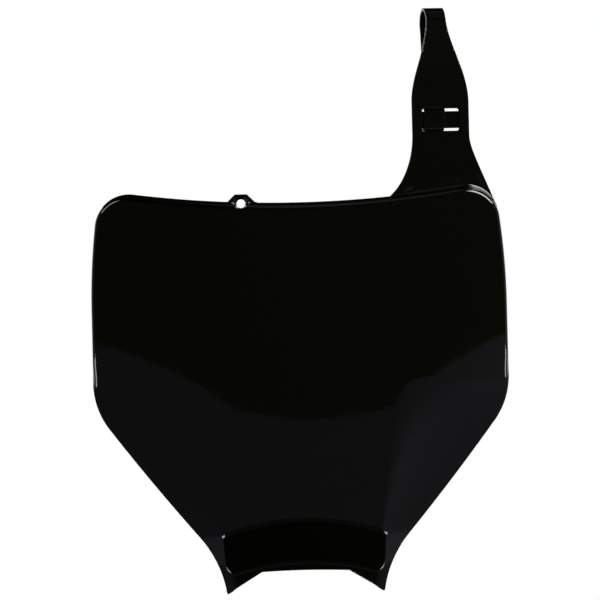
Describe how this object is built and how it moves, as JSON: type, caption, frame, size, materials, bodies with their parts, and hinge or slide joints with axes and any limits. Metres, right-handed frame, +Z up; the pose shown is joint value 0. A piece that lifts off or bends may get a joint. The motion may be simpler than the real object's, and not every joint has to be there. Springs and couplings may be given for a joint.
{
  "type": "racing number board",
  "caption": "Doubly curved shield-shaped front panel with a turned-back rim, a narrow forked neck and a buckled strap that loops round a handlebar brace.",
  "frame": {"origin": "middle of the lip at the foot of the neck, in the plane that touches the foremost line of the face", "axes": "+X to the right as seen from the front, +Y backwards from the face, +Z up along the panel, towards the strap's loop"},
  "size_m": [0.2504, 0.0482, 0.3493],
  "materials": {
    "gloss_black_plastic": "gloss"
  },
  "bodies": {
    "root": {"number_board": "gloss_black_plastic"}
  },
  "joints": []
}
